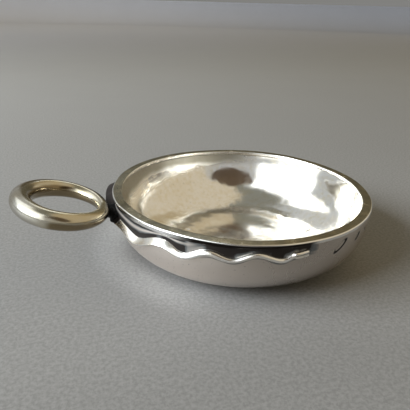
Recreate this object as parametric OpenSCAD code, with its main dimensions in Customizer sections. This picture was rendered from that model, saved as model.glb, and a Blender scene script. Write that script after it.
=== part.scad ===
// Tastevin: a shallow silver wine-taster's cup. A raised cup carries an applied flat rim band,
// a tapered ring handle soldered under the rim, and two serpent wires laid along the wall.
// Millimetres, +Z up, origin at the middle of the foot, handle along -X.

/* [Cup] */
// Outside diameter over the rim band
rim_d = 80; // [66:0.5:100]
// Height from the table to the top of the rim
cup_h = 20.5; // [16:0.5:28]
// Diameter of the flat foot that the cup stands on
foot_d = 33; // [20:0.5:44]
// Thickness of the raised sheet at the foot
wall_t = 1.2; // [0.8:0.1:1.8]
// Thickness of the sheet at its thickened top edge
edge_t = 1.9; // [1.2:0.1:2.2]
// Depth below the top of the rim at which the sheet is back to its own thickness
edge_deep = 9; // [5:0.5:12]
// Fullness of the belly, where 2 is an ellipse and more is squarer
belly = 3.2; // [2.4:0.1:4]

/* [Rim band] */
// Width of the flat on top of the rim
rim_w = 2.85; // [2.6:0.05:4]
// Thickness of the band from its seat on the wall to its top
rim_t = 1.1; // [0.9:0.05:1.6]
// How far the band stands out beyond the wall below it
rim_lip = 0.4; // [0.2:0.05:0.6]
// Height of the bevel under the band's inner edge
rim_bevel = 0.5; // [0.2:0.05:0.55]
// Rounding of the band's edges
rim_round = 0.3; // [0.1:0.05:0.35]

/* [Ring handle] */
// Length of the ring's centre line, outwards from the cup
ring_len = 22.6; // [17:0.2:30]
// Width of the ring's centre line, along the rim
ring_wid = 24.8; // [18:0.2:32]
// Thickness of the ring's wire at its outer end
wire_end_d = 5.7; // [3.5:0.1:6.5]
// Thickness of the ring's wire at its root
wire_root_d = 3.3; // [2.6:0.1:4]
// Upward tilt of the ring in degrees
ring_tilt = 12.5; // [0:0.5:25]
// Distance from the rim's outer edge to the middle of the wire at the root
root_reach = 3.25; // [2.6:0.05:5]
// Depth of the middle of the wire at the root below the top of the rim
root_drop = 2.8; // [2:0.1:4]
// Thickness of the neck that joins the ring to the wall
neck_d = 3.6; // [2.8:0.1:4.2]
// Depth of the neck's axis below the top of the rim
neck_drop = 4.3; // [3.8:0.1:5]
// Length of the neck from the rim's outer edge to the middle of its round end
neck_reach = 1.6; // [1.2:0.1:2.4]

/* [Solder] */
// Film of solder between pieces that are seated on each other
solder_film = 0.05; // [0.03:0.01:0.12]
// Width of the solder collar round the neck at the wall
collar_w = 1.3; // [0.8:0.1:1.6]
// Width of the solder collar at its outer end
collar_end_w = 0.4; // [0.2:0.1:0.7]
// How far the solder collar stands out from the wall
collar_out = 1.2; // [0.8:0.1:1.8]

/* [Serpents] */
// Depth of a serpent's highest crest below the top of the rim
crest_drop = 2.8; // [2.3:0.1:3.4]
// Depth of a serpent's lowest trough below the top of the rim
trough_drop = 6.5; // [5.5:0.1:8]
// Width of a serpent at its root
serpent_root_w = 2.1; // [1.4:0.1:2.4]
// Width of a serpent just behind its head
serpent_neck_w = 1.3; // [0.9:0.1:1.8]
// Height of a serpent off the wall at its root
serpent_root_h = 3.3; // [1:0.1:3.6]
// Height of a serpent off the wall just behind its head
serpent_neck_h = 0.8; // [0.5:0.1:1.2]
// Length of the blunt head
head_len = 4; // [2.5:0.1:5]
// Width of the blunt head
head_w = 1.8; // [1.2:0.1:2.2]
// Height of the blunt head off the wall
head_h = 0.9; // [0.6:0.1:1.4]

/* [Hidden] */

// Facet counts
round_facets = 128;
profile_steps = 36;
edge_steps = 4;
ring_stations = 56;
ring_sides = 14;
serpent_stations = 60;
serpent_sides = 8;

// Colours of the metal as it is seen
silver_colour = [0.78, 0.77, 0.74];
rim_colour = [0.62, 0.60, 0.54];
solder_colour = [0.22, 0.21, 0.20];

// Cup
rim_r = rim_d / 2;
foot_r = foot_d / 2;
wall_r = rim_r - rim_lip;
seat_z = cup_h - rim_t;

// Ring handle
root_x = rim_r + root_reach;
root_z = cup_h - root_drop;
neck_z = cup_h - neck_drop;
neck_x = rim_r + neck_reach;
ring_out = [-cos(ring_tilt), 0, sin(ring_tilt)];
ring_side = [0, 1, 0];
ring_up = [sin(ring_tilt), 0, cos(ring_tilt)];

// Bends of the hand-bent serpents: degrees round the wall from the handle, and how low the bend
// lies, from 0 at the highest crest to 1 at the lowest trough
near_bends = [
    [5.5, 0.76], [12, 0.76], [23.5, 1], [39, 0.2], [47.2, 0.6], [56.6, 0.08],
    [65.4, 0.46], [74.2, 0], [83.4, 0.48], [88.8, 0.14], [93.2, 0.05]
];
far_bends = [
    [5.5, 0.6], [18, 0], [30, 0.6], [40, 0.12], [49, 0.54], [58, 0.06],
    [67, 0.48], [76, 0], [84.6, 0.48], [89.6, 0.14], [94, 0.05]
];

// Radius of a cup profile at a depth below the top of the rim, the depth of its foot being h
function cup_radius(depth, top_r, h) =
    foot_r + (top_r - foot_r) * sqrt(max(0, 1 - pow(depth / h, belly)));

// Points of a cup profile from its foot up to the seat of the rim band, thickened inwards by edge
function cup_profile(top_r, h, edge = 0) = [
    for (i = [0 : profile_steps])
        let (
            last = asin(pow(rim_t / h, belly / 2)),
            a = 90 + (last - 90) * i / profile_steps,
            depth = h * pow(sin(a), 2 / belly),
            near_edge = max(0, (edge_deep - depth) / (edge_deep - rim_t))
        )
        [cup_radius(depth, top_r, h) - edge * pow(near_edge, 2), cup_h - depth]
];

function outer_profile(grow = 0) = cup_profile(wall_r + grow, cup_h);
function inner_profile() = cup_profile(wall_r - wall_t, cup_h - wall_t, edge_t - wall_t);
function reversed(list) = [for (i = [len(list) - 1 : -1 : 0]) list[i]];

// Quarter of a rounded edge about a centre, from one angle to another
function rounded_edge(x, z, from, to) = [
    for (i = [0 : edge_steps])
        let (a = from + (to - from) * i / edge_steps)
        [x + rim_round * cos(a), z + rim_round * sin(a)]
];

function mix(a, b, t) = a + (b - a) * t;
function ease(t) = (1 - cos(180 * t)) / 2;

// Faces of a tube with the given stations and points a station, as triangles
function tube_faces(stations, sides, closed) = [
    for (i = [0 : stations - (closed ? 1 : 2)], j = [0 : sides - 1])
        let (
            k = (i + 1) % stations,
            l = (j + 1) % sides,
            a = i * sides + j,
            b = i * sides + l,
            c = k * sides + l,
            d = k * sides + j
        )
        each [[a, b, c], [a, c, d]]
];

function cap_faces(first, sides, turned) = [
    for (j = [1 : sides - 2])
        turned ? [first, first + j, first + j + 1] : [first, first + j + 1, first + j]
];

// One round section of the ring, at t degrees round from the root
function ring_section(t) =
    let (
        a = ring_len / 2,
        b = ring_wid / 2,
        centre = [-root_x, 0, root_z] + a * (1 - cos(t)) * ring_out + b * sin(t) * ring_side,
        out = (-b * cos(t) * ring_out + a * sin(t) * ring_side) / norm([b * cos(t), a * sin(t)]),
        r = mix(wire_root_d, wire_end_d, sin(t / 2)) / 2
    )
    [
        for (j = [0 : ring_sides - 1])
            let (s = 360 * j / ring_sides)
            centre + r * (cos(s) * out + sin(s) * ring_up)
    ];

function first_angle(bends) = bends[0][0];
function last_angle(bends) = bends[len(bends) - 1][0];

// Depth of a serpent's middle below the top of the rim, at an angle from the handle
function serpent_depth(bends, angle) =
    let (
        after = [for (k = [1 : len(bends) - 1]) if (bends[k][0] >= angle) k][0],
        low = bends[after - 1],
        high = bends[after]
    )
    mix(
        crest_drop,
        trough_drop,
        mix(low[1], high[1], ease((angle - low[0]) / (high[0] - low[0])))
    );

// A serpent's width or height: a taper from the root to the neck, then the blunt head. The taper is even
// at a power of 1, and quick at first below that
function serpent_size(bends, angle, root, neck, head, power) =
    let (
        head_start = last_angle(bends) - head_len / wall_r * 180 / PI,
        t = (angle - first_angle(bends)) / (head_start - first_angle(bends))
    )
    t < 1 ? mix(root, neck, pow(max(0, t), power)) : head;

// Point off the outside of the wall
function wall_point(angle, depth, off) =
    let (r = cup_radius(depth, wall_r, cup_h) + off)
    [-r * cos(angle), -r * sin(angle), cup_h - depth];

// One half-round section of a serpent, square to its run along the wall
function serpent_section(bends, angle) =
    let (
        look = (last_angle(bends) - first_angle(bends)) / serpent_stations / 4,
        before = max(first_angle(bends), angle - look),
        after = min(last_angle(bends), angle + look),
        depth = serpent_depth(bends, angle),
        run = wall_r * (after - before) * PI / 180,
        fall = serpent_depth(bends, after) - serpent_depth(bends, before),
        along = run / norm([run, fall]),
        across = fall / norm([run, fall]),
        w = serpent_size(bends, angle, serpent_root_w, serpent_neck_w, head_w, 1),
        h = serpent_size(bends, angle, serpent_root_h, serpent_neck_h, head_h, 0.5)
    )
    [
        for (j = [0 : serpent_sides])
            let (
                s = 180 * j / serpent_sides,
                offset = w / 2 * cos(s),
                turn = -offset * across / wall_r * 180 / PI
            )
            wall_point(angle + turn, depth + offset * along, solder_film + h * sin(s))
    ];

// Outside of the cup as a full solid, for cutting what seats against the wall
module cup_envelope() {
    rotate_extrude($fn = round_facets)
        polygon(concat([[0, 0]], outer_profile(solder_film), [[0, seat_z]]));
}

// Space that the rim band takes up, with the solder film
module rim_envelope() {
    translate([0, 0, seat_z - solder_film])
        cylinder(r = rim_r + solder_film, h = rim_t + 2 * solder_film, $fn = round_facets);
}

// The neck's round-ended bar, running into the cup
module neck_bar(grow = 0) {
    translate([-neck_x, 0, neck_z]) {
        rotate([0, 90, 0])
            cylinder(d = neck_d + 2 * grow, h = neck_x - foot_r, $fn = round_facets);
        sphere(d = neck_d + 2 * grow, $fn = round_facets);
    }
}

module bowl() {
    color(silver_colour)
        rotate_extrude($fn = round_facets)
            polygon(concat([[0, 0]], outer_profile(), reversed(inner_profile()), [[0, wall_t]]));
}

module rim_band() {
    inner_r = rim_r - rim_w;
    color(rim_colour)
        rotate_extrude($fn = round_facets)
            polygon(concat(
                [[wall_r - edge_t, seat_z]],
                rounded_edge(rim_r - rim_round, seat_z + rim_round, -90, 0),
                rounded_edge(rim_r - rim_round, cup_h - rim_round, 0, 90),
                rounded_edge(inner_r + rim_round, cup_h - rim_round, 90, 180),
                [[inner_r, seat_z + rim_bevel]]
            ));
}

module handle_ring() {
    color(silver_colour)
        union() {
            polyhedron(
                points = [for (i = [0 : ring_stations - 1]) each ring_section(360 * i / ring_stations)],
                faces = tube_faces(ring_stations, ring_sides, true)
            );
            difference() {
                neck_bar();
                cup_envelope();
            }
        }
}

module handle_solder() {
    color(solder_colour)
        difference() {
            translate([-wall_r - collar_out, 0, neck_z])
                rotate([0, 90, 0])
                    cylinder(
                        r1 = neck_d / 2 + collar_end_w,
                        r2 = neck_d / 2 + collar_w,
                        h = 2 * collar_out,
                        $fn = round_facets
                    );
            neck_bar(solder_film);
            cup_envelope();
            rim_envelope();
        }
}

module serpent(bends) {
    from = first_angle(bends);
    to = last_angle(bends);
    sides = serpent_sides + 1;
    polyhedron(
        points = [
            for (i = [0 : serpent_stations - 1])
                each serpent_section(bends, mix(from, to, i / (serpent_stations - 1)))
        ],
        faces = concat(
            tube_faces(serpent_stations, sides, false),
            cap_faces(0, sides, false),
            cap_faces((serpent_stations - 1) * sides, sides, true)
        )
    );
}

module near_serpent() {
    color(silver_colour)
        serpent(near_bends);
}

module far_serpent() {
    color(silver_colour)
        mirror([0, 1, 0])
            serpent(far_bends);
}

bowl();
rim_band();
handle_ring();
handle_solder();
near_serpent();
far_serpent();
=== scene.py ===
"""A hand-made silver tastevin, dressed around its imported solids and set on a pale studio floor."""

import math

import bmesh
import bpy
from bpy.props import FloatProperty, FloatVectorProperty, IntProperty, PointerProperty
from mathutils import Matrix, Vector, noise


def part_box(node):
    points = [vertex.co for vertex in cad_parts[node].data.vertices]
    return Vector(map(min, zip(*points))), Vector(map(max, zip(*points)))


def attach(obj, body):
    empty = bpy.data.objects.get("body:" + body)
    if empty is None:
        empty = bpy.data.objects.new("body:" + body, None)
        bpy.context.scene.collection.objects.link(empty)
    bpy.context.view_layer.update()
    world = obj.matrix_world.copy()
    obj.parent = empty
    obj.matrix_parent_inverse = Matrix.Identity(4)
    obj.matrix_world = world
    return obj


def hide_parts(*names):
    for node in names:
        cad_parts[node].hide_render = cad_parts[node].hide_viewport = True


bl_info = {
    "name": "Silver tastevin",
    "version": (1, 0, 0),
    "blender": (4, 5, 0),
    "location": "View3D > Sidebar > Tastevin",
    "description": "Builds a silver wine-taster's cup with a ring handle and serpent wires",
    "category": "Add Mesh",
}

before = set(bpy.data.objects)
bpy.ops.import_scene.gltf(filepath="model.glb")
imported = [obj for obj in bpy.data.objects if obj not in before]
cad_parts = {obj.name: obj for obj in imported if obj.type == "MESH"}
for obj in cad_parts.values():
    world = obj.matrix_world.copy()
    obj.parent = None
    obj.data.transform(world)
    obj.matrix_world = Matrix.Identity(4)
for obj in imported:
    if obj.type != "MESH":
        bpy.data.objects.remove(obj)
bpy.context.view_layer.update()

MM = 0.001
BODY = "root"

# Upper corners of the solids that the dressed pieces take their sizes from, in millimetres
RIM_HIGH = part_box("rim_band")[1] / MM
BOWL_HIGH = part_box("bowl")[1] / MM

# Bends of the serpents: degrees round the wall from the handle, and how low the bend lies,
# from 0 on the crest line to 1 at the lowest trough, with less than 0 for a bend above that line
NEAR_BENDS = (
    (5.5, 0.76), (12, 0.76), (23.5, 1), (39, 0.2), (47.2, 0.6), (56.6, 0.08),
    (65.4, 0.46), (74.2, 0), (83.4, 0.48), (88.8, 0.14), (93.2, 0.05),
)
FAR_BENDS = (
    (5.5, 0.5), (14, 0.08), (23, -0.22), (32, 0.45), (40, 0.12), (49, 0.54), (58, 0.06),
    (67, 0.48), (76, 0), (84.6, 0.48), (89.6, 0.14), (94, 0.05),
)
NEAR, FAR = -1, 1
# Degrees from the handle over which a serpent's first stretch turns into its body
FIRST_STRETCH = (34, 46)

# Blank punch marks on the near wall: degrees from the handle, depth below the rim, half length and
# half height along the wall, and lean, all in millimetres and degrees
PUNCHES = (
    (109.5, 4.1, 2.9, 0.95, -34),
    (121.5, 3.9, 1.5, 0.7, -42),
    (129.5, 3.7, 0.6, 0.4, -42),
)
# Degrees from the handle between which the near wall has close columns of faces for them
PUNCHED = (102, 132)
# Small knocks inside the cup: place on the floor, half length and half width, in millimetres
KNOCKS = (
    (-13.9, 11.8, 0.9, 0.45),
    (25.1, -2.3, 1.2, 0.5),
)
# Lumps of solder at the handle's root: offset from the neck's foot, and radius, in millimetres
LUMPS = (
    (0.2, 0.0, 0.0, 2.5), (-1.5, -0.3, 0.4, 2.1), (-2.9, 0.0, 0.9, 1.7), (-1.4, -1.7, 0.6, 1.6),
    (-0.4, -2.3, -1.0, 1.3), (-0.9, -0.8, -2.2, 1.0), (-0.2, 2.2, -0.2, 1.4), (-1.6, 1.4, 0.6, 1.4),
    (-0.3, 0.9, -2.2, 1.1), (0.2, -3.2, 0.1, 1.0),
)

# Window lamp: degrees round and up to its middle, and half its width and height in degrees
LAMP_AROUND, LAMP_UP = 185, 30
LAMP_HALF = (19, 11)
# Dark card as the cup sees it: half its width, its middle's height and half its height, in degrees
CARD_HALF_WIDE, CARD_UP, CARD_HALF_HIGH = 23, 41, 27
# Place of the camera and the point that it looks at, in millimetres over the middle of the foot
CAMERA_PLACE = (-54.42, -126.21, 71.98)
CAMERA_AIM = (-15.71, -11.83, 20.5)


def setting(kind, scale=None, **extra):
    """A function that makes settings of one kind from a name, a description and a default."""
    def make(name, description, default):
        default = scale * default if scale else default
        return kind(name=name, description=description, default=default, **extra)
    return make


# Lengths are given in millimetres and rotations in degrees
length = setting(FloatProperty, MM, precision=5, subtype="DISTANCE", unit="LENGTH")
rotation = setting(FloatProperty, math.radians(1), subtype="ANGLE")
number = setting(FloatProperty, min=0)
count = setting(IntProperty, min=20)
colour = setting(FloatVectorProperty, size=3, min=0, max=1, subtype="COLOR")


class CupSettings(bpy.types.PropertyGroup):
    """Sizes of the cup and its rim band."""

    rim_radius: length("Rim radius", "Outer radius of the rim band", RIM_HIGH.x)
    height: length("Height", "From the table to the top of the rim", RIM_HIGH.z)
    wall_radius: length("Wall radius", "Outer radius of the wall under the rim", BOWL_HIGH.x)
    seat: length("Seat height", "Height of the rim band's seat on the wall", BOWL_HIGH.z)
    foot_radius: length("Foot radius", "Radius of the flat foot", 16.5)
    sheet: length("Sheet", "Thickness of the raised sheet", 1.2)
    edge: length("Edge", "Thickness of the sheet at its top edge", 1.9)
    flare: length("Flare", "How far the inside opens out at its top edge", 0.8)
    flare_depth: length("Flare depth", "Depth below the rim at which the inside starts to open out", 9)
    belly: number("Belly", "Fullness of the belly, 2 is an ellipse", 3.2)
    hollow: number("Hollow", "Fullness of the inside, 2 is an ellipse", 2.7)
    rim_width: length("Rim width", "Width of the flat on top of the rim", 2.85)
    rim_round: length("Rim rounding", "Rounding of the rim's lower and inner edges", 0.28)
    rim_ease: length("Rim easing", "Rounding of the rim's outer top edge", 0.42)
    rim_bevel: length("Rim bevel", "Height of the bevel under the rim's inner edge", 0.5)
    rim_sway: length("Rim sway", "How far the hand-made rim wanders up and in", 0.22)
    hammering: length("Hammering", "Height of the planishing marks", 0.05)
    sway: length("Sway", "Height of the slow unevenness of the wall", 0.12)
    punch_depth: length("Punch depth", "Depth of the blank punch marks", 0.22)
    knock_depth: length("Knock depth", "Depth of the small knocks inside", 0.14)
    columns: count("Columns", "Columns of faces round the cup", 640)
    rows: count("Rows", "Rows of faces on the inner wall", 90)


class HandleSettings(bpy.types.PropertyGroup):
    """Sizes of the ring handle and its solder."""

    long: length("Length", "Length of the ring's centre line", 22.6)
    wide: length("Width", "Width of the ring's centre line", 24.8)
    end_wire: length("End wire", "Thickness of the wire at the outer end", 5.7)
    root_wire: length("Root wire", "Thickness of the wire at the root", 3.3)
    tilt: rotation("Tilt", "Upward tilt of the ring", 12.5)
    reach: length("Root reach", "From the rim to the middle of the wire at the root", 3.25)
    drop: length("Root drop", "Depth of the middle of the wire at the root", 2.8)
    neck: length("Neck", "Thickness of the neck", 3.6)
    neck_drop: length("Neck drop", "Depth of the neck's axis", 4.3)
    wear: length("Wear", "Unevenness of the worn wire", 0.05)


class SerpentSettings(bpy.types.PropertyGroup):
    """Sizes of the two serpent wires."""

    crest: length("Crest depth", "Depth of the highest crest below the rim", 2.8)
    trough: length("Trough depth", "Depth of the lowest trough below the rim", 6.5)
    root_width: length("Root width", "Width at the root", 3.4)
    neck_width: length("Neck width", "Width of the slim part behind the head", 1.5)
    root_height: length("Root height", "Height off the wall at the root", 3.3)
    neck_height: length("Neck height", "Height off the wall behind the head", 0.8)
    head_long: length("Head length", "Length of the blunt head", 4)
    head_width: length("Head width", "Width of the blunt head", 1.8)
    head_height: length("Head height", "Height of the blunt head off the wall", 1.1)
    sunk: length("Sunk", "How far the wire's back lies in its solder", 0.25)


class FinishSettings(bpy.types.PropertyGroup):
    """Colours of the metal."""

    silver: colour("Silver", "Clean polished silver", (0.93, 0.915, 0.88))
    tarnish: colour("Tarnish", "Thin warm tarnish", (0.80, 0.70, 0.49))
    dull: colour("Dull", "Dull film under the rim inside", (0.29, 0.265, 0.205))
    skin: colour("Skin", "Thin warm film on the outside", (0.83, 0.745, 0.675))
    # A brown film on the outside, painted darker as shade where the wall reflects the cup's shadow
    film_and_shade: colour("Dusk", "Brown film on the outside, away from the handle", (0.53, 0.475, 0.425))
    worn: colour("Worn", "Worn silver of the ring", (0.57, 0.56, 0.52))
    gold: colour("Gold", "Golden tarnish of the ring", (0.60, 0.52, 0.345))
    # Also paints shade along the ring's far edge
    brown: colour("Brown", "Brown tarnish where the ring is never rubbed", (0.26, 0.205, 0.125))
    patina: colour("Patina", "Black patina in the recesses", (0.026, 0.021, 0.019))
    smoke: colour("Smoke", "Dark glossy film beside the serpents", (0.20, 0.21, 0.215))
    rim: colour("Rim", "Filed, dull rim", (0.27, 0.252, 0.19))
    # Near-black solder, which also paints the deep shade of the joint
    solder: colour("Solder", "Oxidised solder", (0.007, 0.007, 0.007))


class StageSettings(bpy.types.PropertyGroup):
    """Floor, room, lamp, card and camera."""

    floor: colour("Floor", "Pale floor", (0.297, 0.293, 0.285))
    # Painted light: the far floor is lighter and bluer to stand in for the lamp's light that does not
    # reach it
    floor_far: colour("Far floor", "Floor far behind, past the lamp's reach", (0.335, 0.35, 0.40))
    room_right: colour("Room right", "Warm wall on the right", (0.585, 0.515, 0.395))
    room_back: colour("Room back", "Dim wall at the back", (0.16, 0.145, 0.10))
    room_front: colour("Room front", "Wall behind the camera", (0.46, 0.46, 0.45))
    card: colour("Card", "Dark card behind the camera", (0.32, 0.235, 0.18))
    room_left: colour("Room left", "Wall beside the windows", (0.48, 0.495, 0.495))
    room_pier: colour("Room pier", "Lit wall between the windows", (0.56, 0.57, 0.56))
    room_corner: colour("Room corner", "Shaded corner at the back right", (0.42, 0.34, 0.21))
    room_ledge: colour("Room ledge", "Lit ledge low on the right", (1.0, 0.94, 0.80))
    room_shade: colour("Room shade", "What the left wall throws on the floor", (0.04, 0.04, 0.045))
    room_mid: colour("Room middle", "Dim wall high behind the camera", (0.15, 0.112, 0.085))
    room_top: colour("Room top", "Ceiling", (0.22, 0.22, 0.19))
    backdrop: colour("Backdrop", "Plain backdrop behind the floor", (0.22, 0.218, 0.21))
    daylight: colour("Daylight", "Colour of the light from the windows", (0.94, 0.98, 1.0))
    fill: colour("Fill", "Warm tint of the room's light on the floor", (0.86, 0.80, 0.65))
    lens: number("Lens", "Focal length in millimetres", 40.39)
    roll: rotation("Roll", "Roll of the camera", 1.6445)
    glow: number("Glow", "Brightness of the windows", 1.7)
    lamp_tint: colour("Lamp tint", "Colour of the window lamp", (0.88, 0.94, 1.0))
    lamp_glow: number("Lamp glow", "Brightness of the window lamp", 21.3)


def arithmetic(operation, swapped=False):
    """A method of Value that adds a Math node."""
    def work(value, other):
        values = (other, value) if swapped else (value, other)
        return value.tree.math(operation, *values)
    return work


class Value:
    """A socket of a node tree that Python's operators work on."""

    def __init__(self, tree, socket):
        self.tree = tree
        self.socket = socket

    __add__ = __radd__ = arithmetic("ADD")
    __sub__ = arithmetic("SUBTRACT")
    __rsub__ = arithmetic("SUBTRACT", swapped=True)
    __mul__ = __rmul__ = arithmetic("MULTIPLY")
    __truediv__ = arithmetic("DIVIDE")
    __pow__ = arithmetic("POWER")


class Tree:
    """A node tree with one method that adds every kind of node."""

    def __init__(self, tree):
        self.nodes, self.links = tree.nodes, tree.links
        self.nodes.clear()

    def node(self, kind, settings=None, sockets=None, output=0):
        """Add a node, set it up, feed its sockets and give back one of its outputs."""
        made = self.nodes.new(kind)
        for name, value in (settings or {}).items():
            setattr(made, name, value)
        for name, value in (sockets or {}).items():
            self.feed(self.find(made.inputs, name), value)
        return None if output is None else Value(self, self.find(made.outputs, output))

    @staticmethod
    def find(sockets, name):
        """A socket by its number, its identifier or its name."""
        if isinstance(name, int):
            return sockets[name]
        return [s for s in sockets if s.enabled and name in (s.identifier, s.name)][0]

    def feed(self, socket, value):
        """Link a value to a socket, or set the socket to a number or colour."""
        if isinstance(value, Value):
            self.links.new(value.socket, socket)
        elif socket.type == "RGBA":
            socket.default_value = (*value, 1)
        else:
            socket.default_value = value

    def math(self, operation, *values):
        """A Math node on the values."""
        return self.node("ShaderNodeMath", {"operation": operation}, dict(enumerate(values)))

    def mix(self, factor, first, second):
        """A colour between two colours."""
        sockets = {"Factor_Float": factor, "A_Color": first, "B_Color": second}
        return self.node("ShaderNodeMix", {"data_type": "RGBA"}, sockets, "Result_Color")

    def layers(self, colours, *covers):
        """A colour with others laid over it in turn, each by its own share."""
        for share, tint in covers:
            colours = self.mix(share, colours, tint)
        return colours

    def ease(self, value, low, high):
        """A smooth step from 0 at low to 1 at high, which falls where low is the larger."""
        sockets = {"Value": value, "From Min": low, "From Max": high}
        return self.node("ShaderNodeMapRange", {"interpolation_type": "SMOOTHSTEP"}, sockets)

    def place(self):
        """Where a point lies on the object, in millimetres."""
        metres = self.node("ShaderNodeTexCoord", output="Object")
        return self.node("ShaderNodeMapping", {}, {"Vector": metres, "Scale": [1 / MM] * 3})

    def parts(self, vector):
        """The three numbers of a vector."""
        return [self.node("ShaderNodeSeparateXYZ", {}, {"Vector": vector}, part) for part in "XYZ"]

    def noise(self, vector, size, detail=2.0, roughness=0.5):
        """Noise from 0 to 1 whose features are about size across."""
        sockets = {"Vector": vector, "Scale": 1 / size, "Detail": detail, "Roughness": roughness}
        return self.node("ShaderNodeTexNoise", {}, sockets, "Fac")

    def hairlines(self, vector, turn, fine, long):
        """Straight scratches, fine across and long along, turned by three angles."""
        sockets = {"Vector": vector, "Rotation": turn, "Scale": (1 / fine, 1 / long, 1 / long)}
        return self.noise(self.node("ShaderNodeMapping", {}, sockets), 1.0, 2.0, 0.6)

    def strokes(self, x, y, across, fine, long):
        """Marks that run round the cup, fine across and an angle long."""
        around = self.math("ARCTAN2", y, x)
        polar = self.node("ShaderNodeCombineXYZ", {}, {"X": across / fine, "Y": around / long})
        return self.noise(polar, 1.0, 3.0, 0.6)

    def attribute(self, name):
        """A value painted on the mesh's points."""
        return self.node("ShaderNodeAttribute", {"attribute_name": name}, output="Fac")

    def bump(self, height, distance):
        """A normal bumped by a height from 0 to 1, over a distance in millimetres."""
        sockets = {"Height": height, "Distance": distance * MM, "Strength": 1.0}
        return self.node("ShaderNodeBump", {}, sockets)

    def close(self, sockets, kind="ShaderNodeBsdfPrincipled", output_kind="ShaderNodeOutputMaterial"):
        """End the tree in one shader of the given kind."""
        self.node(output_kind, {}, {"Surface": self.node(kind, {}, sockets)}, None)


def material(fill):
    """Turn a function that feeds a surface into one that makes the material of its name."""
    def make(settings):
        made = bpy.data.materials.new(fill.__name__)
        made.use_nodes = True
        tree = Tree(made.node_tree)
        tree.close(fill(tree, tree.place(), settings))
        return made
    return make


@material
def bowl_silver(tree, place, finish):
    """Planished silver with hairline scratches, warm tarnish, black patina in the recesses, and painted
    shade and reflections on the outside.
    """
    x, y, z = tree.parts(place)
    inside = tree.attribute("inside")
    outside = 1 - inside
    clouds = tree.noise(place, 13, 3.0, 0.55)
    mottle = tree.noise(place, 1.7, 3.0, 0.6)
    crust = tree.noise(place, 0.9, 4.0, 0.65)
    pits = tree.ease(tree.noise(place, 0.55, 1.0), 0.70, 0.78)
    film = tree.ease(clouds, 0.38, 0.7) * 0.25 + tree.ease(mottle, 0.4, 0.75) * inside * 0.35

    # Dark film and black patina where they are painted on the mesh; beside the serpents the same values
    # carry painted reflections and a painted shadow line
    stain = tree.attribute("patina")
    smoke = tree.ease(stain, 0.05, 0.6)
    patina = tree.ease(stain + (crust - 0.5) * 0.35, 0.6, 0.95)

    # The dull band under the rim inside, deeper beside the handle, and the softer polish below it
    lifted = z + (clouds - 0.5) * 4 + tree.ease(x, -22, -34) * 3
    upper = tree.ease(lifted, 14.5, 17.6) * inside * tree.ease(x, 24, 10)
    soft = tree.ease(lifted, 9, 14) * inside * tree.ease(x, 12, -6)

    # The outside is more satin beside the handle, and away from it a brown film is painted darker as
    # shade, the cup's own shadow that the wall reflects
    satin = outside * tree.ease(x, -4, -32)
    film_and_shade = outside * tree.ease(x, -26, 4) * (1 - tree.ease(x, 8, 20) * 0.5)

    brushed = tree.strokes(x, y, z, 0.14, 0.12)
    first = tree.hairlines(place, (0.2, 0.4, 0.5), 0.16, 5)
    second = tree.hairlines(place, (0.9, -0.3, 2.1), 0.2, 4)
    scratches = (first + second - 1) * (0.12 + inside * 0.88)
    polish = 0.27 - inside * (0.15 - (mottle - 0.5) * 0.2) + upper * 0.3 + soft * 0.07 + satin * 0.2
    return {
        "Base Color": tree.layers(
            finish.silver,
            (film, finish.tarnish), (upper * 0.9, finish.dull),
            (outside * 0.9, finish.skin), (film_and_shade, finish.film_and_shade),
            (pits * 0.4, finish.patina), (smoke, finish.smoke), (patina, finish.patina),
        ),
        "Metallic": 1 - patina * 0.25,
        "Roughness": polish + (clouds - 0.5) * 0.08 + scratches * 0.05 + patina * 0.15 - smoke * 0.05,
        "Normal": tree.bump(scratches + pits * -0.5 + brushed * upper * 3, 0.0015),
    }


@material
def rim_silver(tree, place, finish):
    """Silver rubbed flat and dull, with file marks that run round the rim."""
    x, y, _ = tree.parts(place)
    flat = tree.attribute("flat")
    filed = tree.strokes(x, y, (x * x + y * y) ** 0.5, 0.12, 0.09)
    stains = tree.noise(place, 4, 4.0, 0.6)
    dull = tree.mix(tree.ease(stains, 0.35, 0.75) * 0.35, finish.rim, finish.tarnish)
    grime = tree.ease(filed + stains * 0.6, 0.9, 1.15) * flat * 0.45
    grime = tree.math("MAXIMUM", grime, tree.attribute("patina"))
    return {
        "Base Color": tree.layers(finish.silver, (flat, dull), (grime, finish.patina)),
        "Metallic": 1.0,
        "Roughness": 0.2 + flat * 0.06 + (stains - 0.5) * 0.1,
        "Normal": tree.bump(filed * flat, 0.012),
    }


@material
def handle_silver(tree, place, finish):
    """Worn silver wire with golden tarnish, black towards its root, and painted shade along its far edge.
    """
    x, _, _ = tree.parts(place)
    clouds = tree.noise(place, 6, 3.0, 0.55)
    crust = tree.noise(place, 0.8, 4.0, 0.65)
    film = (tree.ease(clouds, 0.3, 0.7) * 0.5 + 0.4) * (0.3 + tree.ease(x, -66, -57) * 0.7)
    # Brown tarnish, with painted shade along the far edge in the same mask
    brown = tree.ease(tree.attribute("brown") + (clouds - 0.5) * 0.5, 0.15, 0.85)
    patina = tree.ease(tree.attribute("patina") + (crust - 0.5) * 0.3, 0.35, 0.75)
    hairs = tree.hairlines(place, (0.5, 0.2, 0.3), 0.15, 3)
    covers = (film, finish.gold), (brown, finish.brown), (patina, finish.patina)
    return {
        "Base Color": tree.layers(finish.worn, *covers),
        "Metallic": 1 - patina * 0.5,
        "Specular IOR Level": 0.1,
        "Roughness": 0.21 + (clouds - 0.5) * 0.12 + (hairs - 0.5) * 0.06 + patina * 0.2,
        "Normal": tree.bump(hairs, 0.0006),
    }


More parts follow.
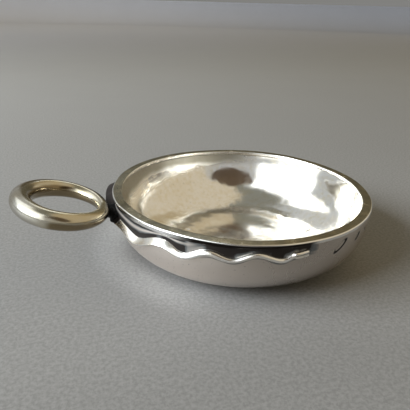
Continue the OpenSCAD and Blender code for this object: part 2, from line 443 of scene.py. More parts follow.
@material
def serpent_silver(tree, place, finish):
    """Bright silver on the wires' backs, with patina where they meet the wall."""
    clouds = tree.noise(place, 5, 3.0, 0.55)
    crust = tree.noise(place, 0.6, 4.0, 0.65)
    film = tree.ease(clouds, 0.4, 0.7) * 0.4
    patina = tree.ease(tree.attribute("patina") + (crust - 0.5) * 0.5, 0.4, 0.8)
    hairs = tree.hairlines(place, (0.1, 0.7, 0.2), 0.14, 2)
    return {
        "Base Color": tree.layers(finish.silver, (film, finish.tarnish), (patina, finish.patina)),
        "Metallic": 1 - patina * 0.5,
        "Specular IOR Level": 0.1,
        "Roughness": 0.25 + (clouds - 0.5) * 0.08 + (hairs - 0.5) * 0.1 + patina * 0.25,
        "Normal": tree.bump(hairs, 0.004),
    }


@material
def dark_solder(tree, place, finish):
    """Lumpy black solder with a few bright rubbed grains; it is kept near black and hardly reflecting,
    which also paints the deep shade of the joint.
    """
    lumps = tree.noise(place, 0.7, 4.0, 0.6)
    rubbed = tree.ease(tree.noise(place, 0.5), 0.66, 0.78)
    return {
        "Base Color": tree.mix(rubbed * 0.3, finish.solder, finish.rim),
        "Metallic": rubbed,
        "Specular IOR Level": 0.04,
        "Roughness": 0.5 + (lumps - 0.5) * 0.3,
        "Normal": tree.bump(lumps, 0.08),
    }


def smooth(low, high, value):
    """A smooth step from 0 at low to 1 at high, which falls where low is the larger."""
    t = min(1.0, max(0.0, (value - low) / (high - low)))
    return t * t * (3 - 2 * t)


def between(first, second, t):
    """The number that lies a share t of the way from the first to the second."""
    return first + (second - first) * t


def wander(point, size, seed):
    """Noise from about -1 to 1 that varies over size millimetres."""
    return noise.noise(Vector(point) / (size * MM) + Vector((seed, 2.3 * seed, 0.7 * seed)))


def circle(count):
    """Cosine and sine of count even steps round a circle."""
    turns = [2 * math.pi * i / count for i in range(count)]
    return [(math.cos(turn), math.sin(turn)) for turn in turns]


def even_line(points, count):
    """The same line as count + 1 points, evenly spaced along it."""
    runs = [0.0]
    for first, second in zip(points, points[1:]):
        runs.append(runs[-1] + (second - first).length)
    line = []
    after = 1
    for i in range(count + 1):
        run = runs[-1] * i / count
        while after < len(points) - 1 and runs[after] < run:
            after += 1
        t = (run - runs[after - 1]) / (runs[after] - runs[after - 1])
        line.append(points[after - 1].lerp(points[after], t))
    return line


def woven(name, rings, loop=False, poles=()):
    """A mesh of closed rings of points, each joined to the next, with poles to close its ends."""
    size = len(rings[0])
    points = [point for ring in rings for point in ring]
    faces = []
    for i in range(len(rings) if loop else len(rings) - 1):
        here = i * size
        there = (i + 1) % len(rings) * size
        for j in range(size):
            k = (j + 1) % size
            faces.append((here + j, here + k, there + k, there + j))
    for pole, first in zip(poles, (0, (len(rings) - 1) * size)):
        points.append(pole)
        for j in range(size):
            faces.append((first + j, first + (j + 1) % size, len(points) - 1))
    mesh = bpy.data.meshes.new(name)
    mesh.from_pydata(points, [], faces)
    tidy_mesh(mesh)
    return mesh


def tidy_mesh(mesh):
    """Turn every face outwards and shade the mesh smooth."""
    shape = bmesh.new()
    shape.from_mesh(mesh)
    bmesh.ops.recalc_face_normals(shape, faces=shape.faces)
    shape.to_mesh(mesh)
    shape.free()
    mesh.polygons.foreach_set("use_smooth", [True] * len(mesh.polygons))
    mesh.update()


def paint(mesh, name, values):
    """Keep one number for each point of a mesh, for its material."""
    layer = mesh.attributes.new(name, "FLOAT", "POINT")
    layer.data.foreach_set("value", values)


def show(name, data):
    """Put an object that holds a mesh, a lamp or a camera into the scene."""
    made = bpy.data.objects.new(name, data)
    bpy.context.scene.collection.objects.link(made)
    return made


def add_piece(name, mesh, material, node):
    """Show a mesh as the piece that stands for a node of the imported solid."""
    mesh.materials.clear()
    mesh.materials.append(material)
    piece = show(name, mesh)
    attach(piece, BODY)
    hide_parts(node)


def bend_depth(serpent, bends, angle):
    """Depth of a serpent's middle below the rim, at degrees from the handle."""
    angle = min(max(angle, bends[0][0]), bends[-1][0])
    after = next(k for k in range(1, len(bends)) if bends[k][0] >= angle)
    (from_angle, from_low), (to_angle, to_low) = bends[after - 1], bends[after]
    t = (angle - from_angle) / (to_angle - from_angle)
    low = between(from_low, to_low, (1 - math.cos(math.pi * t)) / 2)
    return between(serpent.crest, serpent.trough, low)


def cup_radius(cup, depth, top, bottom, fullness):
    """Radius of one side of the wall at a depth below the rim, the flat lying at depth bottom."""
    swell = max(0.0, 1 - (depth / bottom) ** fullness)
    return cup.foot_radius + (top - cup.foot_radius) * math.sqrt(swell)


def cup_line(cup, top, bottom, fullness):
    """One side of the wall from the edge of the flat up to the seat, as radius and height."""
    steps = 300
    last = math.asin(((cup.height - cup.seat) / bottom) ** (fullness / 2))
    line = []
    for i in range(steps + 1):
        turn = between(math.pi / 2, last, i / steps)
        depth = bottom * math.sin(turn) ** (2 / fullness)
        line.append(Vector((cup_radius(cup, depth, top, bottom, fullness), cup.height - depth)))
    return line


def outer_line(cup):
    """The outside from the middle of the foot to the seat, with close rows beside the serpents."""
    line = [Vector((0, 0)), *cup_line(cup, cup.wall_radius, cup.height, cup.belly)]
    low_rows, close_rows, close_depth = 60, 72, 9 * MM
    split = next(i for i, spot in enumerate(line) if cup.height - spot.y < close_depth)
    return even_line(line[:split + 1], low_rows)[1:] + even_line(line[split:], close_rows)[1:]


def flared(cup, height):
    """How much of its flare the inside has at a height, from 0 to 1 at the rim."""
    return max(0.0, 1 - (cup.height - height) / cup.flare_depth) ** 2


def inner_line(cup):
    """The inside from the rim's seat down the wall and in over the flat floor."""
    wall = cup_line(cup, cup.wall_radius - cup.edge, cup.height - cup.sheet, cup.hollow)
    for spot in wall:
        spot.x += cup.flare * flared(cup, spot.y)
    floor = even_line([Vector((0, cup.sheet)), wall[0]], cup.rows // 4)
    return even_line(wall, cup.rows)[::-1] + floor[-2:0:-1]


def cup_columns(cup):
    """Angles round the cup, closer together where the wall is punched."""
    step = 2 * math.pi / cup.columns
    angles = []
    angle = 0.0
    while angle < 2 * math.pi - step / 8:
        angles.append(angle)
        from_handle = math.degrees(angle) - 180
        angle += step / 4 if PUNCHED[0] < from_handle < PUNCHED[1] else step
    return angles


def wall_place(point):
    """Side of the cup that a point lies on, and its degrees from the handle."""
    side = NEAR if point[1] < 0 else FAR
    return side, math.degrees(math.atan2(abs(point[1]), -point[0]))


def dent(along, across, half_along, half_across, lean):
    """1 in the middle of an oval dent and 0 outside it."""
    turn = math.radians(lean)
    u = along * math.cos(turn) + across * math.sin(turn)
    v = across * math.cos(turn) - along * math.sin(turn)
    return smooth(1.1, 0.6, math.hypot(u / half_along, v / half_across))


def punched(cup, point):
    """How deep in a blank punch mark a point of the outer wall lies, from 0 to 1."""
    side, angle = wall_place(point)
    if side == FAR:
        return 0.0
    depth = cup.height - point[2]
    marks = []
    for at, low, half_long, half_high, lean in PUNCHES:
        along = math.radians(angle - at) * cup.wall_radius / MM
        marks.append(dent(along, depth / MM - low, half_long, half_high, lean))
    return max(marks)


def punch_edge(cup, point):
    """Patina in the edge of a blank punch mark, from 0 to 1."""
    deep = punched(cup, point)
    return min(1.0, 7 * deep * (1 - deep))


def knocked(point):
    """How deep in a small knock a point of the inside lies, from 0 to 1."""
    return max(
        dent(point[0] / MM - x, point[1] / MM - y, half_long, half_wide, 0)
        for x, y, half_long, half_wide in KNOCKS
    )


def wall_patina_and_shade(cup, serpent, point):
    """Patina on the outer wall between the rim and a serpent, with painted reflections and a painted
    shadow line, from 0 to 1.
    """
    side, angle = wall_place(point)
    bends = NEAR_BENDS if side == NEAR else FAR_BENDS
    depth = cup.height - point[2]
    last = bends[-1][0]
    middle = bend_depth(serpent, bends, angle)
    half = serpent_size(serpent, bends, cup, angle)[0] / 2
    blot = wander(point, 2.6, 71)
    reach = smooth(1, 4, angle) * smooth(last + 6, last - 1, angle + 2.5 * blot)
    # A dark field of patina from the rim down to the serpent, with a lighter band painted along its first
    # stretch as a reflection in the wall
    rim_low = cup.height - cup.seat
    down = (depth - rim_low) / max(0.1 * MM, middle - half - rim_low)
    ridge = smooth(0.08, 0.35, down) * smooth(0.8, 0.42, down) * smooth(58, 44, angle)
    field = between(1.05 + 0.25 * blot, 0.15, ridge)
    # It is lighter where the serpent climbs, as a painted reflection, and ends behind the serpent
    climb = bend_depth(serpent, bends, angle - 1.5) - bend_depth(serpent, bends, angle + 1.5)
    light = smooth(0, 0.6 * MM, climb + 0.12 * MM * blot) * smooth(33, 39, angle)
    light *= between(1, smooth(0.35, 1, down), smooth(48, 58, angle))
    field = between(field, 0.2, 0.8 * light)
    field *= smooth(middle + half, middle - 0.2 * half, depth)
    # A thin painted shadow line runs under the slim part
    under = smooth(50, 60, angle) * smooth(0.8 * MM, 0.1 * MM, abs(depth - middle - half))
    return reach * max(field, (0.6 + 0.4 * blot) * under)


def cup_offset(cup, point, inside):
    """How far the hand-worked surface stands out from the plain one."""
    flat_rim = smooth(0, 3 * MM, cup.seat - point[2])
    marks = cup.hammering * (0.8 if inside else 1.0) * wander(point, 4.5, 3 + inside)
    marks += cup.sway * wander(point, 19, 9 + inside)
    if not inside:
        off_foot = smooth(0.2 * MM, 4 * MM, point[2])
        return flat_rim * off_foot * marks - cup.punch_depth * punched(cup, point)
    marks += 0.35 * cup.hammering * wander(point, 2.1, 15)
    opening = 0.9 * cup.flare * max(0.0, point[0] / cup.rim_radius) * flared(cup, point[2])
    return flat_rim * marks - cup.knock_depth * knocked(point) - opening


def cup_mesh(cup, serpent):
    """The raised cup: its outside, its edge under the rim band and its inside."""
    sides = ((outer_line(cup), False), (inner_line(cup), True))
    angles = cup_columns(cup)
    rings, patina, insides = [], [], []
    for line, inside in sides:
        for i, spot in enumerate(line):
            run = line[min(i + 1, len(line) - 1)] - line[max(i - 1, 0)]
            normal = Vector((run.y, -run.x)).normalized()
            ring = []
            for angle in angles:
                out = Vector((math.cos(angle), math.sin(angle), 0))
                point = spot.x * out + Vector((0, 0, spot.y))
                offset = cup_offset(cup, point, inside)
                ring.append(point + offset * (normal.x * out + Vector((0, 0, normal.y))))
                # Outside: patina with painted reflections and a painted shadow line beside the serpents,
                # and patina in the punch edges
                stain = 0.0 if inside else max(wall_patina_and_shade(cup, serpent, point), punch_edge(cup, point))
                patina.append(stain)
                insides.append(float(inside))
            rings.append(ring)
    mesh = woven("bowl", rings, poles=(Vector((0, 0, 0)), Vector((0, 0, cup.sheet))))
    paint(mesh, "patina", [*patina, 0.0, 0.0])
    paint(mesh, "inside", [*insides, 0.0, 1.0])
    return mesh


def rim_lift(cup, side, angle):
    """How far the rim rises above its plain height beside the handle and along its far side."""
    if side == NEAR:
        rise = 1.7 * smooth(2, 14, angle) * smooth(75, 45, angle)
    else:
        rise = 1.3 * smooth(12, 30, angle) * smooth(170, 135, angle)
        rise += 0.6 * smooth(20, 40, angle) * smooth(85, 60, angle)
    return cup.rim_sway * rise


def rim_section(cup, turn):
    """One section of the rim band, with its hand-made wander.

    Each point has a radius, a height, how flat the band is there and its patina.
    """
    out = Vector((math.cos(turn), math.sin(turn), 0))
    side, angle = wall_place(out)
    spot = out * cup.rim_radius
    sway = cup.rim_sway
    outer = cup.rim_radius + 0.4 * sway * wander(spot, 9, 37)
    inner = cup.rim_radius - cup.rim_width + 0.5 * sway * wander(spot, 11, 41)
    lower = outer + 0.7 * sway * wander(spot, 2.2, 43)
    top = cup.height + 0.3 * sway * wander(spot, 14, 31) + rim_lift(cup, side, angle)
    shade = 0.0
    if side == NEAR:
        beside = smooth(38, 52, angle) * smooth(98, 93, angle)
        shade = max(beside, 0.8 * smooth(26, 18, angle))
    # Each corner: the middle of its rounding, the rounding's radius and the degrees that it starts at
    corners = (
        (lower - cup.rim_round, cup.seat + cup.rim_round, cup.rim_round, -90),
        (outer - cup.rim_ease, top - cup.rim_ease, cup.rim_ease, 0),
        (inner + cup.rim_round, top - cup.rim_round, cup.rim_round, 90),
    )
    steps, flat_steps = 6, 8
    points = [(cup.wall_radius - cup.edge, cup.seat, 0.0, shade)]
    for radius, height, easing, start in corners:
        for i in range(steps + 1):
            bend = math.radians(start + 90 * i / steps)
            cos, sin = math.cos(bend), math.sin(bend)
            low = shade * smooth(0.6, 0.0, sin) if start < 90 else 0.0
            points.append((radius + easing * cos, height + easing * sin, smooth(0.8, 1.0, sin), low))
        if start == 0:
            for i in range(1, flat_steps):
                across = between(outer - cup.rim_ease, inner + cup.rim_round, i / flat_steps)
                points.append((across, top, 1.0, 0.0))
    points.append((inner, cup.seat + cup.rim_bevel, 0.0, 0.0))
    return out, points


def rim_mesh(cup):
    """The flat rim band, slightly uneven all round."""
    columns = 2 * cup.columns
    rings, flats, patina = [], [], []
    for i in range(columns):
        out, points = rim_section(cup, 2 * math.pi * i / columns)
        rings.append([radius * out + Vector((0, 0, height)) for radius, height, _, _ in points])
        flats.extend(flat for _, _, flat, _ in points)
        patina.extend(stain for _, _, _, stain in points)
    mesh = woven("rim_band", rings, loop=True)
    paint(mesh, "flat", flats)
    paint(mesh, "patina", patina)
    return mesh


def loop_rings(handle, root, out_axis, up_axis):
    """Sections of the tapered wire all round the ring."""
    stations, sides = 200, 40
    side_axis = Vector((0, 1, 0))
    half_long, half_wide = handle.long / 2, handle.wide / 2
    rings = []
    for i, (cos, sin) in enumerate(circle(stations)):
        centre = root + half_long * (1 - cos) * out_axis + half_wide * sin * side_axis
        out = (half_long * sin * side_axis - half_wide * cos * out_axis).normalized()
        radius = between(handle.root_wire, handle.end_wire, math.sin(math.pi * i / stations)) / 2
        ring = []
        for outwards, upwards in circle(sides):
            spoke = outwards * out + upwards * up_axis
            point = centre + radius * spoke
            ring.append(point + handle.wear * wander(point, 5, 51) * spoke)
        rings.append(ring)
    return rings


def neck_mesh(cup, handle, root):
    """The short neck from the wall to the ring's root."""
    start = Vector((-cup.wall_radius + 0.3 * MM, 0, cup.height - handle.neck_drop))
    end = root + Vector((0.2 * MM, 0, -0.4 * MM))
    steps = 8
    rings = []
    for i in range(steps + 1):
        centre = start.lerp(end, i / steps)
        radius = between(handle.neck, 0.9 * handle.root_wire, smooth(0, 1, i / steps)) / 2
        rings.append([centre + radius * Vector((0, cos, sin)) for cos, sin in circle(32)])
    return woven("handle_neck", rings, poles=(start, end))


def ring_mesh(cup, handle):
    """The tapered ring and its neck, as one closed surface."""
    root = Vector((-cup.rim_radius - handle.reach, 0, cup.height - handle.drop))
    cos, sin = math.cos(handle.tilt), math.sin(handle.tilt)
    out_axis, up_axis = Vector((-cos, 0, sin)), Vector((sin, 0, cos))
    loop = woven("handle_loop", loop_rings(handle, root, out_axis, up_axis), loop=True)
    mesh = union("handle_ring", loop, neck_mesh(cup, handle, root))
    middle = root + handle.long / 2 * out_axis
    paint(mesh, "patina", [root_patina_and_shade(point, root, middle) for point in mesh.vertices])
    paint(mesh, "brown", [brown_and_edge_shade(point, middle, up_axis) for point in mesh.vertices])
    return mesh


def brown_and_edge_shade(point, middle, up_axis):
    """Brown tarnish on the ring's inner face, underside and outer end, and painted shade along its far
    edge, from 0 to 1.
    """
    x, y = (point.co.x - middle.x) / MM, point.co.y / MM
    inwards = point.normal.dot((middle - point.co).normalized())
    inner = smooth(0.35, 0.9, inwards) * smooth(5, 0, x)
    under = smooth(-0.4, 0.15, -point.normal.dot(up_axis)) * smooth(-7, -2, x)
    # Painted shade on the far side's outer faces
    edge = smooth(-0.05, 0.3, -inwards) * smooth(-1, 4, y)
    end = 0.55 * smooth(-4, -9, x) * smooth(-9, -3, y)
    return max(inner, under, edge, end)


def root_patina_and_shade(point, root, middle):
    """Patina at the handle's root, and painted shade along its back on the far side, from 0 to 1."""
    end = smooth(3.0 * MM, 1.4 * MM, (point.co - root - Vector((1.9, 0, -1.0)) * MM).length)
    # Painted shade on the far side's faces that turn away from the ring's middle
    back = smooth(0.0, 0.35, point.normal.dot((point.co - middle).normalized()))
    back *= smooth(1 * MM, 4 * MM, point.co.y)
    back *= smooth(21 * MM, 10 * MM, (point.co - root).length)
    return max(end, 0.9 * back)


def evaluated(name, made):
    """A plain mesh of an object with its modifiers applied. The object is removed."""
    depsgraph = bpy.context.evaluated_depsgraph_get()
    mesh = bpy.data.meshes.new_from_object(made.evaluated_get(depsgraph))
    mesh.name = name
    bpy.data.objects.remove(made)
    tidy_mesh(mesh)
    return mesh


def union(name, first, second):
    """One closed surface round two closed meshes."""
    base, added = (show(mesh.name, mesh) for mesh in (first, second))
    join = base.modifiers.new("join", "BOOLEAN")
    join.operation = "UNION"
    join.solver = "EXACT"
    join.object = added
    mesh = evaluated(name, base)
    bpy.data.objects.remove(added)
    return mesh


def solder_mesh(cup, handle):
    """A lumpy run of solder round the neck."""
    shape = bmesh.new()
    base = Vector((-cup.wall_radius, 0, cup.height - handle.neck_drop))
    for x, y, z, radius in LUMPS:
        place = Matrix.Translation(base + Vector((x, y, z)) * MM)
        bmesh.ops.create_icosphere(shape, subdivisions=3, radius=radius * MM, matrix=place)
    rough = bpy.data.meshes.new("solder_lumps")
    shape.to_mesh(rough)
    shape.free()
    lumps = show("solder_lumps", rough)
    melt = lumps.modifiers.new("melt", "REMESH")
    melt.mode = "VOXEL"
    melt.voxel_size = 0.14 * MM
    soften = lumps.modifiers.new("soften", "SMOOTH")
    soften.factor = 0.5
    soften.iterations = 8
    mesh = evaluated("handle_solder", lumps)
    for point in mesh.vertices:
        point.co += 0.12 * MM * wander(point.co, 0.9, 61) * point.normal
    return mesh


def serpent_size(serpent, bends, cup, angle):
    """Width and height of a serpent at degrees from the handle, and its shares of neck and head there."""
    first, last = bends[0][0], bends[-1][0]
    head_start = last - math.degrees(serpent.head_long / cup.wall_radius)
    t = min(1.0, max(0.0, (angle - first) / (head_start - first)))
    neck = smooth(0.5, 0.75, t)
    head = smooth(head_start - 0.4, head_start + 0.5, angle)
    tip = 1 - 0.45 * smooth(last - 0.7, last, angle)
    wide = between(between(serpent.root_width, serpent.neck_width, neck), serpent.head_width, head)
    high = between(between(serpent.root_height, serpent.neck_height, t ** 0.5), serpent.head_height, head)
    return wide * (0.4 + 0.6 * tip), high * tip, neck, head


def serpent_outline(wide, high, neck, head, sunk, angle):
    """Offsets down the wall and heights off it round a section, with its patina.

    The first stretch has a flat, steep upper face, and the body after it an upright upper edge and a
    broad sloping face. Both have a ridge and a soft lower side. The neck is a half round, and the head
    is blunt with a groove along it.
    """
    steps = 12
    later = smooth(*FIRST_STRETCH, angle)
    wide *= between(0.76, 1.0, later)
    bulge = between(1.0, 1.5, later)
    ridge = between(0.1, 0.3, later)
    top = between(1.0, 0.35, later)
    fall = min(0.9, between(1.05, 0.3 * (ridge + top), later) * wide / high)
    points, patina = [], []
    for s in (-1, -0.97, *(i / steps for i in range(1 - steps, steps + 1))):
        turn = math.pi / 2 * s
        sin, cos = abs(math.sin(turn)), abs(math.cos(turn))
        across = between(ridge, -top if s < 0 else 1.0, abs(s))
        rise = 1 - fall * abs(s) ** bulge if s < 0 else cos ** 2
        rise = 0.0 if s == -1 else rise
        across = between(across, math.sin(turn), neck)
        rise = between(rise, cos, neck)
        across = between(across, math.copysign(sin ** 0.5, s), head)
        groove = head * smooth(0.3, 0.05, abs(across))
        rise = between(rise, cos ** 0.5, head) - 0.3 * groove
        points.append((across * wide / 2, high * rise - 0.4 * sunk * (1 - rise)))
        patina.append(max(0.8 * groove, (1.0 if s < 0 else 0.3) * smooth(0.12, 0.02, rise)))
    points.extend([(0.45 * wide, -sunk), (-0.45 * wide, -sunk)])
    patina.extend([1.0, 1.0])
    return points, patina


def serpent_section(cup, serpent, bends, side, angle):
    """One section of a serpent, square to its run along the wall, with its patina."""
    look = 0.3
    before, after = max(bends[0][0], angle - look), min(bends[-1][0], angle + look)
    depth = bend_depth(serpent, bends, angle)
    run = cup.wall_radius * math.radians(after - before)
    fall = bend_depth(serpent, bends, after) - bend_depth(serpent, bends, before)
    along, across = run / math.hypot(run, fall), fall / math.hypot(run, fall)
    wide, high, neck, head = serpent_size(serpent, bends, cup, angle)
    # The serpents are painted dark by the root, the far one for its first 28 to 38 degrees
    if side == NEAR:
        high *= between(0.6, 1.0, smooth(14, 27, angle))
        dark = smooth(10.5, 7.5, angle)
    else:
        high *= 1 + 0.4 * smooth(10, 20, angle) * smooth(34, 26, angle)
        dark = smooth(38, 28, angle)
    points, patina = serpent_outline(wide, high, neck, head, serpent.sunk, angle)
    patina = [max(dark, stain) for stain in patina]
    ring = []
    for offset, off in points:
        at = math.radians(angle) - offset * across / cup.wall_radius
        low = depth + offset * along
        radius = cup_radius(cup, low, cup.wall_radius, cup.height, cup.belly) + off
        ring.append(Vector((-radius * math.cos(at), side * radius * math.sin(at), cup.height - low)))
    return ring, patina


def serpent_mesh(name, cup, serpent, bends, side):
    """One serpent wire from its root to its blunt head."""
    stations = 240
    rings, patina = [], []
    for i in range(stations + 1):
        ring, stain = serpent_section(
            cup, serpent, bends, side, between(bends[0][0], bends[-1][0], i / stations)
        )
        rings.append(ring)
        patina.extend(stain)
    middles = [sum(ring, Vector()) / len(ring) for ring in (rings[0], rings[-1])]
    mesh = woven(name, rings, poles=middles)
    paint(mesh, "patina", [*patina, 1.0, 0.0])
    return mesh


def scaled(tint, factor):
    """A colour made lighter or darker by a factor."""
    return [factor * part for part in tint]


@material
def studio_floor(tree, place, stage):
    """A pale, faintly mottled table top, with painted light: darker in front, lighter far behind, and a
    painted pool of light close to the cup on the left.
    """
    x, y, _ = tree.parts(place)
    grain = tree.ease(tree.noise(place, 0.9, 3.0, 0.7), 0.3, 0.7)
    clouds = tree.noise(place, 60)
    radius = (x * x + (y - 6) ** 2) ** 0.5
    # Painted pool of light beside the cup on the left, for light that the silver throws onto the table
    beside = tree.ease(radius, 32, 38) * tree.ease(radius, 50, 38) * tree.ease(x, -12, -32)
    # Painted light far behind, lighter and bluer where the lamp's light does not reach
    right, left = scaled(stage.floor_far, 1.7), scaled(stage.floor_far, 2.4)
    far = tree.mix(tree.ease(y * 0.84 - x, 0, 1800), right, left)
    # Painted light: darker in front, lighter behind as the window's light falls off, and the painted pool
    # beside the cup
    plain = tree.layers(
        scaled(stage.floor, 0.88),
        (tree.ease(y, -65, -35), stage.floor),
        (tree.ease(y, -20, 450), scaled(stage.floor, 1.3)),
        (tree.ease(y, 400, 1600), far),
        (beside, scaled(stage.floor, 1.45)),
    )
    return {
        "Base Color": tree.mix((grain * 0.6 + clouds * 0.1) * 0.45, plain, (0, 0, 0)),
        "Roughness": 0.6,
        "Specular IOR Level": 0.25,
    }


def add_floor(stage):
    """A wide round floor whose edge curves up into a low backdrop."""
    edge, curve, below = 1.9, 0.1, -0.02 * MM
    line = [(radius, 0.0) for radius in (0.05, 0.1, 0.2, 0.4, 0.8, edge)]
    for i in range(1, 13):
        turn = math.radians(7.5 * i)
        line.append((edge + curve * math.sin(turn), curve * (1 - math.cos(turn))))
    rings = [
        [Vector((radius * cos, radius * sin, height + below)) for cos, sin in circle(128)]
        for radius, height in line
    ]
    mesh = woven("studio_floor", rings, poles=(Vector((0, 0, below)),))
    mesh.materials.append(studio_floor(stage))
    show("studio_floor", mesh)


def add_lamp(stage):
    """One soft lamp at the left, the brightest part of the windows."""
    distance = 1.0
    lamp = bpy.data.lights.new("window_lamp", "AREA")
    lamp.shape = "RECTANGLE"
    lamp.size, lamp.size_y = (2 * distance * math.tan(math.radians(half)) for half in LAMP_HALF)
    lamp.color = stage.lamp_tint
    lamp.energy = stage.lamp_glow * math.pi * lamp.size * lamp.size_y
    made = show("window_lamp", lamp)
    turn, rise = math.radians(LAMP_AROUND), math.radians(LAMP_UP)
    level = distance * math.cos(rise)
    made.location = (level * math.cos(turn), level * math.sin(turn), distance * math.sin(rise))
    made.rotation_euler = (-made.location).to_track_quat("-Z", "Y").to_euler()
    made.visible_camera = False


def add_room(stage):
    """A room with windows at the left, a warm wall on the right and dim walls behind and in front."""
    world = bpy.data.worlds.new("room")
    world.use_nodes = True
    bpy.context.scene.world = world
    tree = Tree(world.node_tree)
    x, y, z = tree.parts(tree.node("ShaderNodeTexCoord", output="Generated"))
    level = (x * x + y * y + 1e-6) ** 0.5

    def sector(around, inner, outer):
        """1 up to inner degrees either side of a direction round the room, and 0 past outer degrees."""
        turn = math.radians(around)
        facing = (x * math.cos(turn) + y * math.sin(turn)) / level
        return tree.ease(facing, math.cos(math.radians(outer)), math.cos(math.radians(inner)))

    def above(low, high):
        """0 below low degrees up, and 1 above high degrees."""
        return tree.ease(z, math.sin(math.radians(low)), math.sin(math.radians(high)))

    # What stands along the walls, in order: its sector, its lower and upper edge and its colour
    panes = scaled(stage.daylight, stage.glow)
    walls = (
        ((165, 70, 78), None, (60, 70), stage.room_left),
        ((340, 79, 84), (3, 12), None, stage.room_right),
        ((14, 14, 20), (14, 17), (19, 23), stage.room_ledge),
        ((55, 13, 17), None, (44, 49), stage.room_corner),
        ((68, 24, 28), None, (24, 29), stage.room_back),
        ((174, 56, 60), (6, 10), (60, 68), panes),
        ((138, 22, 26), None, (24, 30), stage.room_left),
        ((102, 15, 19), (20, 24), (50, 56), stage.room_pier),
        ((76, 9, 12), (29, 33), (46, 50), panes),
        ((258, 22, 32), None, (36, 52), stage.room_front),
        ((247, 13, 19), (36, 46), (50, 60), stage.room_mid),
    )
    colours = tree.mix(above(54, 66), stage.room_back, stage.room_top)
    for width, bottom, top, tint in walls:
        cover = sector(*width)
        if bottom:
            cover = cover * above(*bottom)
        if top:
            cover = cover * (1 - above(*top))
        colours = tree.mix(cover, colours, tint)
    mirrored = tree.node("ShaderNodeLightPath", output="Is Glossy Ray")
    colours = tree.mix(sector(165, 62, 80) * (1 - mirrored) * 0.85, colours, stage.room_shade)
    warm = tree.node("ShaderNodeVectorMath", {"operation": "MULTIPLY"}, {0: colours, 1: stage.fill})
    colours = tree.mix(mirrored, warm, colours)
    seen = tree.node("ShaderNodeLightPath", output="Is Camera Ray")
    colours = tree.mix(seen, colours, stage.backdrop)
    tree.close({"Color": colours, "Strength": 1.0}, "ShaderNodeBackground", "ShaderNodeOutputWorld")


@material
def dark_card(tree, place, stage):
    """Matt card, a little darker low down."""
    _, _, z = tree.parts(place)
    tint = tree.mix(tree.ease(z, 100, 190), scaled(stage.card, 0.85), stage.card)
    return {"Base Color": tint, "Roughness": 0.9}


def add_card(stage):
    """A dark oval card behind the camera, which only the reflections show."""
    behind, beside, low, away = 20 * MM, 40 * MM, 15 * MM, 176 * MM
    place = Vector(CAMERA_PLACE) * MM
    ahead = Vector(CAMERA_AIM) * MM - place
    ahead.z = 0
    ahead.normalize()
    across = Vector((ahead.y, -ahead.x, 0))
    middle = place - behind * ahead + beside * across
    middle.z = low
    points = []
    for cos, sin in circle(64):
        aside = away * math.tan(math.radians(CARD_HALF_WIDE * cos))
        up = away * math.tan(math.radians(CARD_UP + CARD_HALF_HIGH * sin))
        points.append(middle + aside * across + Vector((0, 0, up)))
    mesh = bpy.data.meshes.new("dark_card")
    mesh.from_pydata(points, [], [tuple(range(len(points)))])
    mesh.materials.append(dark_card(stage))
    card = show("dark_card", mesh)
    card.visible_camera = False
    card.visible_diffuse = False
    card.visible_shadow = False


def add_camera(stage):
    """The camera at the photograph's angle."""
    lens = bpy.data.cameras.new("camera")
    lens.lens = stage.lens
    lens.sensor_width = 36
    lens.clip_start = 0.01
    lens.clip_end = 20
    made = show("camera", lens)
    place = Vector(CAMERA_PLACE) * MM
    turn = (Vector(CAMERA_AIM) * MM - place).to_track_quat("-Z", "Y").to_matrix().to_4x4()
    made.matrix_world = Matrix.Translation(place) @ turn @ Matrix.Rotation(stage.roll, 4, "Z")
    bpy.context.scene.camera = made


class TASTEVIN_OT_cup(bpy.types.Operator):
    """Add the raised cup"""

    bl_idname = "tastevin.cup"
    bl_label = "Cup"
    bl_options = {"REGISTER", "UNDO"}

    def execute(self, context):
        settings = context.scene.tastevin
        mesh = cup_mesh(settings.cup, settings.serpent)
        add_piece("cup", mesh, bowl_silver(settings.finish), "bowl")
        return {"FINISHED"}


class TASTEVIN_OT_rim(bpy.types.Operator):
    """Add the flat rim band"""

    bl_idname = "tastevin.rim"
    bl_label = "Rim band"
    bl_options = {"REGISTER", "UNDO"}

    def execute(self, context):
        settings = context.scene.tastevin
        add_piece("rim", rim_mesh(settings.cup), rim_silver(settings.finish), "rim_band")
        return {"FINISHED"}


class TASTEVIN_OT_handle(bpy.types.Operator):
    """Add the ring handle and its solder"""

    bl_idname = "tastevin.handle"
    bl_label = "Ring handle"
    bl_options = {"REGISTER", "UNDO"}

    def execute(self, context):
        settings = context.scene.tastevin
        finish = settings.finish
        ring = ring_mesh(settings.cup, settings.handle)
        add_piece("ring", ring, handle_silver(finish), "handle_ring")
        solder = solder_mesh(settings.cup, settings.handle)
        add_piece("solder", solder, dark_solder(finish), "handle_solder")
        return {"FINISHED"}


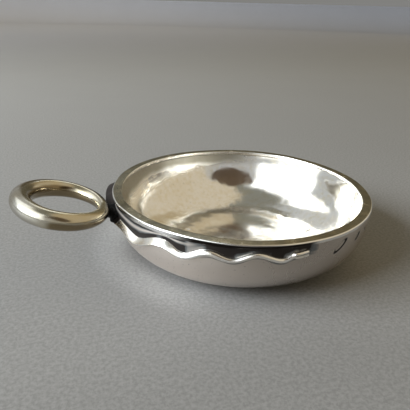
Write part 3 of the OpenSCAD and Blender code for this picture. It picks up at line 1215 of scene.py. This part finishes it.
class TASTEVIN_OT_serpents(bpy.types.Operator):
    """Add the two serpent wires"""

    bl_idname = "tastevin.serpents"
    bl_label = "Serpents"
    bl_options = {"REGISTER", "UNDO"}

    def execute(self, context):
        settings = context.scene.tastevin
        silver = serpent_silver(settings.finish)
        for node, bends, side in (("near_serpent", NEAR_BENDS, NEAR), ("far_serpent", FAR_BENDS, FAR)):
            mesh = serpent_mesh(node, settings.cup, settings.serpent, bends, side)
            add_piece(node + "_wire", mesh, silver, node)
        return {"FINISHED"}


class TASTEVIN_OT_stage(bpy.types.Operator):
    """Add the floor, the lamp, the room, the card and the camera"""

    bl_idname = "tastevin.stage"
    bl_label = "Stage"
    bl_options = {"REGISTER", "UNDO"}

    def execute(self, context):
        stage = context.scene.tastevin.stage
        context.scene.view_settings.view_transform = "Standard"
        add_floor(stage)
        add_lamp(stage)
        add_room(stage)
        add_card(stage)
        add_camera(stage)
        return {"FINISHED"}


STEPS = (TASTEVIN_OT_cup, TASTEVIN_OT_rim, TASTEVIN_OT_handle, TASTEVIN_OT_serpents, TASTEVIN_OT_stage)


class TastevinSettings(bpy.types.PropertyGroup):
    """All sizes and colours."""

    cup: PointerProperty(type=CupSettings)
    handle: PointerProperty(type=HandleSettings)
    serpent: PointerProperty(type=SerpentSettings)
    finish: PointerProperty(type=FinishSettings)
    stage: PointerProperty(type=StageSettings)


class TASTEVIN_PT_panel(bpy.types.Panel):
    """Lists the steps in the 3D view's sidebar"""

    bl_idname = "TASTEVIN_PT_panel"
    bl_label = "Tastevin"
    bl_space_type = "VIEW_3D"
    bl_region_type = "UI"
    bl_category = "Tastevin"

    def draw(self, context):
        for step in STEPS:
            self.layout.operator(step.bl_idname, text=step.bl_label)


CLASSES = (
    CupSettings, HandleSettings, SerpentSettings, FinishSettings, StageSettings, TastevinSettings,
    *STEPS, TASTEVIN_PT_panel,
)


def register():
    for item in CLASSES:
        bpy.utils.register_class(item)
    bpy.types.Scene.tastevin = PointerProperty(type=TastevinSettings)


def unregister():
    del bpy.types.Scene.tastevin
    for item in reversed(CLASSES):
        bpy.utils.unregister_class(item)


def main():
    register()
    bpy.ops.tastevin.cup()
    bpy.ops.tastevin.rim()
    bpy.ops.tastevin.handle()
    bpy.ops.tastevin.serpents()
    bpy.ops.tastevin.stage()


if __name__ == "__main__":
    main()
